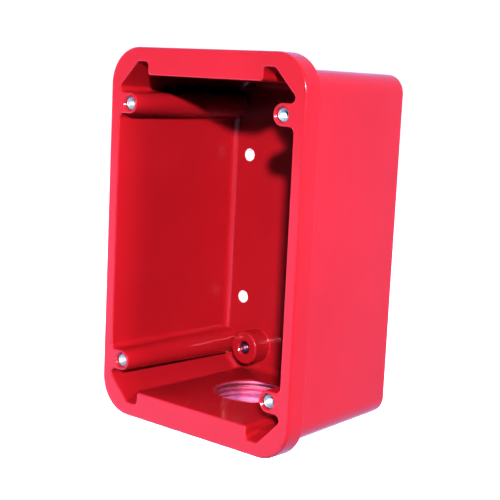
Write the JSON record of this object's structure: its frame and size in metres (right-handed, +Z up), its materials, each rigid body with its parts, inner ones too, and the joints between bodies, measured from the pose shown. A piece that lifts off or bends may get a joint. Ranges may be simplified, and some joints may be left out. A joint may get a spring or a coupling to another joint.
{
  "type": "manual call point",
  "caption": "Surface-mount cast back box of a manual call point: open front with flange, cover-screw bosses, earth boss, wall fixing holes and a threaded conduit entry.",
  "frame": {"origin": "centre of the flat rear face, where it stands against the wall", "axes": "+Y into the wall, so that the open front faces -Y; +Z up; +X to the right as seen from the front"},
  "size_m": [0.082, 0.0552, 0.121],
  "materials": {
    "red_paint": "glossy red paint on a die casting",
    "bright_metal": "bright, machined"
  },
  "bodies": {
    "root": {"back_box": "red_paint", "upper_left_insert": "bright_metal", "upper_right_insert": "bright_metal", "lower_left_insert": "bright_metal", "lower_right_insert": "bright_metal", "earth_insert": "bright_metal"}
  },
  "joints": []
}
